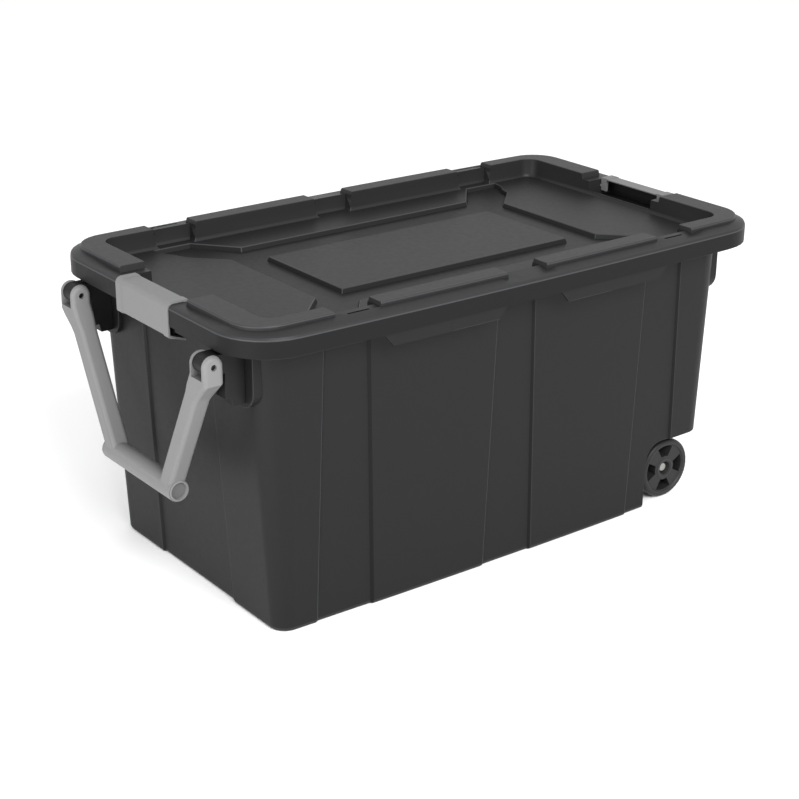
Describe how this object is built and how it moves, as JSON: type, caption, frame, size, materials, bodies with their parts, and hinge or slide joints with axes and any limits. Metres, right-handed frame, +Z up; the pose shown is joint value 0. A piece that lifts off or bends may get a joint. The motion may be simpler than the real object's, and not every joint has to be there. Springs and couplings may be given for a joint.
{
  "type": "wheeled storage bin",
  "caption": "Large tapered storage bin with a lift-off clip-down lid, a swinging U-shaped pull handle at one end and small wheels under the other.",
  "frame": {"origin": "middle of the tub's flat underside, between the middles of its long and short sides", "axes": "+X along the bin towards the wheels, with the pull handle at -X; +Y across it, towards the back in the picture; +Z up"},
  "size_m": [0.956, 0.537, 0.4568],
  "materials": {
    "tub_plastic": "moulded charcoal polypropylene, fine texture",
    "lid_plastic": "moulded charcoal polypropylene, satin",
    "grey_plastic": "moulded mid-grey polypropylene, satin",
    "black_plastic": "moulded black plastic, satin",
    "wheel_plastic": "hard moulded dark plastic, satin",
    "plated_steel": "zinc plated",
    "dark_steel": "blackened"
  },
  "bodies": {
    "base": {"tub": "tub_plastic", "handle_bracket_front": "black_plastic", "handle_bracket_rear": "black_plastic", "handle_pin_front": "dark_steel", "handle_pin_rear": "dark_steel", "axle": "plated_steel", "axle_cap_front": "plated_steel", "axle_cap_rear": "plated_steel"},
    "lid": {"lid": "lid_plastic"},
    "latch_handle_end": {"latch_handle_end": "grey_plastic"},
    "latch_wheel_end": {"latch_wheel_end": "grey_plastic"},
    "handle": {"pull_handle": "grey_plastic"},
    "wheel_front": {"wheel_front": "wheel_plastic"},
    "wheel_rear": {"wheel_rear": "wheel_plastic"}
  },
  "joints": [
    {"name": "lid_lift", "type": "slide", "parent": "base", "child": "lid", "axis": [0, 0, 1], "range_m": [0, 0.36]},
    {"name": "latch_handle_end_turn", "type": "hinge", "parent": "lid", "child": "latch_handle_end", "pos_m": [-0.437, 0, 0.436], "axis": [0, 1, 0], "range_deg": [0, 100]},
    {"name": "latch_wheel_end_turn", "type": "hinge", "parent": "lid", "child": "latch_wheel_end", "pos_m": [0.437, 0, 0.436], "axis": [0, -1, 0], "range_deg": [0, 100]},
    {"name": "handle_swing", "type": "hinge", "parent": "base", "child": "handle", "pos_m": [-0.474, 0, 0.4], "axis": [0, 1, 0], "range_deg": [-5, 145]},
    {"name": "wheel_front_turn", "type": "hinge", "parent": "base", "child": "wheel_front", "pos_m": [0.3426, -0.185, 0.0487], "axis": [0, 1, 0], "continuous": true},
    {"name": "wheel_rear_turn", "type": "hinge", "parent": "base", "child": "wheel_rear", "pos_m": [0.3426, 0.185, 0.0487], "axis": [0, 1, 0], "continuous": true}
  ]
}
